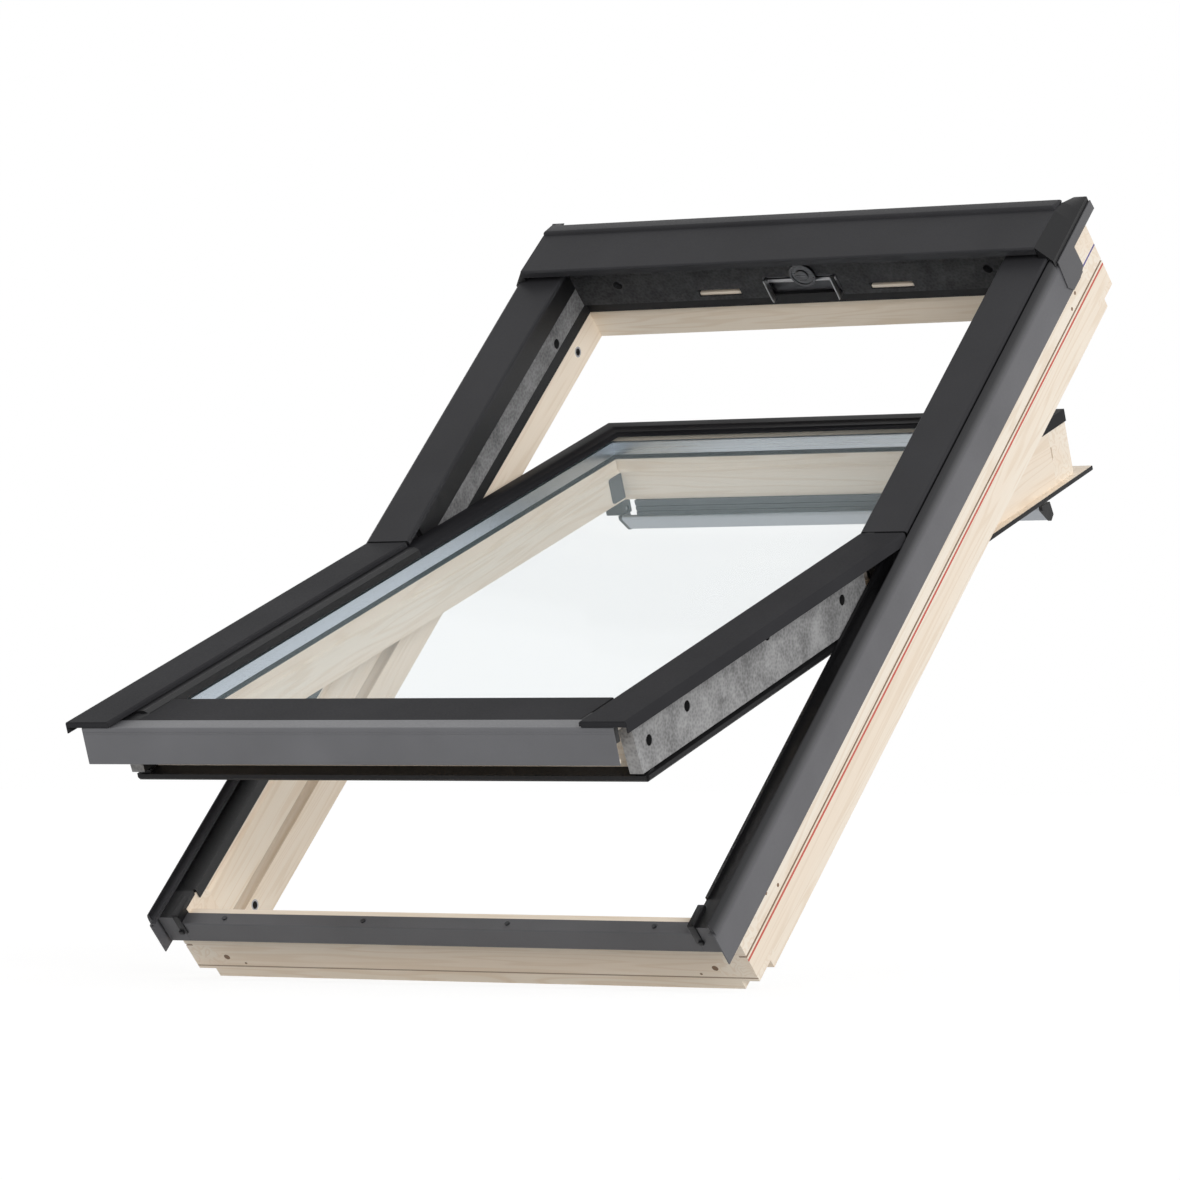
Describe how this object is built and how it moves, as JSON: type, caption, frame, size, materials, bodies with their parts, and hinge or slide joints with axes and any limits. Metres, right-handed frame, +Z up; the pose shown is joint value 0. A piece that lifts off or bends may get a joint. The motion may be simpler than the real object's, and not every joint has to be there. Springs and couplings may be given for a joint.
{
  "type": "roof skylight",
  "caption": "Centre-pivot roof window: timber frame and sash with insulating glass, outer covers, hood, control bar, ventilation flap and barrel bolt; the sash stands partly open.",
  "frame": {"origin": "on the roof line at the middle of the window, 92 mm below the outer face of the covers", "axes": "+Z up, +X to the window's right seen from outside, +Y horizontal into the roof; the frame stands at a roof slope of 45 degrees"},
  "size_m": [0.7862, 1.1361, 0.9454],
  "materials": {
    "pine": "clear varnish, satin",
    "dark_paint": "dark grey lacquer, matt",
    "grey_paint": "grey lacquer, satin",
    "black_plastic": "matt",
    "grey_foam": "closed foam, matt",
    "gasket": "matt",
    "flap_paint": "dark grey, satin",
    "anodised": "brushed, anodised",
    "spacer": "satin",
    "glazing": "clear",
    "plated": "zinc plated, satin",
    "bracket_plastic": "satin"
  },
  "bodies": {
    "frame": {"frame_bottom_rail": "pine", "frame_top_rail": "pine", "frame_left_stile": "pine", "frame_right_stile": "pine", "bottom_cladding": "grey_paint", "upper_gasket": "gasket", "top_insulation": "grey_foam", "strike_box": "plated", "strike_roller": "plated", "hood": "dark_paint", "top_flashing": "grey_paint", "bolt_bushes": "black_plastic", "cladding_screws": "plated", "left_side_cladding": "grey_paint", "right_side_cladding": "grey_paint", "left_drain_channel": "grey_paint", "right_drain_channel": "grey_paint", "left_corner_key": "black_plastic", "right_corner_key": "black_plastic", "left_upper_cover": "dark_paint", "right_upper_cover": "dark_paint", "left_cover_carrier": "black_plastic", "right_cover_carrier": "black_plastic", "left_upper_insulation": "grey_foam", "right_upper_insulation": "grey_foam", "left_hood_cap": "black_plastic", "right_hood_cap": "black_plastic", "left_hood_bracket": "bracket_plastic", "right_hood_bracket": "bracket_plastic", "left_hinge_block": "black_plastic", "right_hinge_block": "black_plastic"},
    "sash": {"sash_bottom_rail": "pine", "sash_top_rail": "pine", "outer_pane": "glazing", "inner_pane": "glazing", "glass_spacer": "spacer", "glazing_tape": "gasket", "upper_glazing_profile": "dark_paint", "bottom_glazing_profile": "dark_paint", "sash_bottom_cover": "dark_paint", "sash_gasket": "gasket", "lock_case": "plated", "bolt_housing": "black_plastic", "left_sash_stile": "pine", "right_sash_stile": "pine", "left_lower_cover": "dark_paint", "right_lower_cover": "dark_paint", "left_glazing_bead": "black_plastic", "right_glazing_bead": "black_plastic", "left_lower_insulation": "grey_foam", "right_lower_insulation": "grey_foam", "left_hinge_sash_plate": "plated", "right_hinge_sash_plate": "plated", "left_blind_bracket": "bracket_plastic", "right_blind_bracket": "bracket_plastic"},
    "control": {"ventilation_flap": "flap_paint", "control_bar": "anodised", "bar_end_caps": "black_plastic"},
    "latch": {"latch_bolt": "plated"},
    "bolt": {"barrel_bolt": "plated"}
  },
  "joints": [
    {"name": "sash_pivot", "type": "hinge", "parent": "frame", "child": "sash", "pos_m": [0, -0.05763, 0.07389], "axis": [-1, 0, 0], "range_deg": [-24.84, 138]},
    {"name": "bar_pull", "type": "hinge", "parent": "sash", "child": "control", "pos_m": [0, 0.44877, 0.15115], "axis": [1, 0, 0], "range_deg": [0, 35]},
    {"name": "latch_slide", "type": "slide", "parent": "sash", "child": "latch", "axis": [0, 0.9387, 0.3446], "range_m": [-0.014, 0]},
    {"name": "bolt_slide", "type": "slide", "parent": "sash", "child": "bolt", "axis": [-1, 0, 0], "range_m": [0, 0.012]}
  ],
  "couplings": [
    {"joint": "latch_slide", "follows": "bar_pull", "m_per_rad": -0.022918}
  ]
}
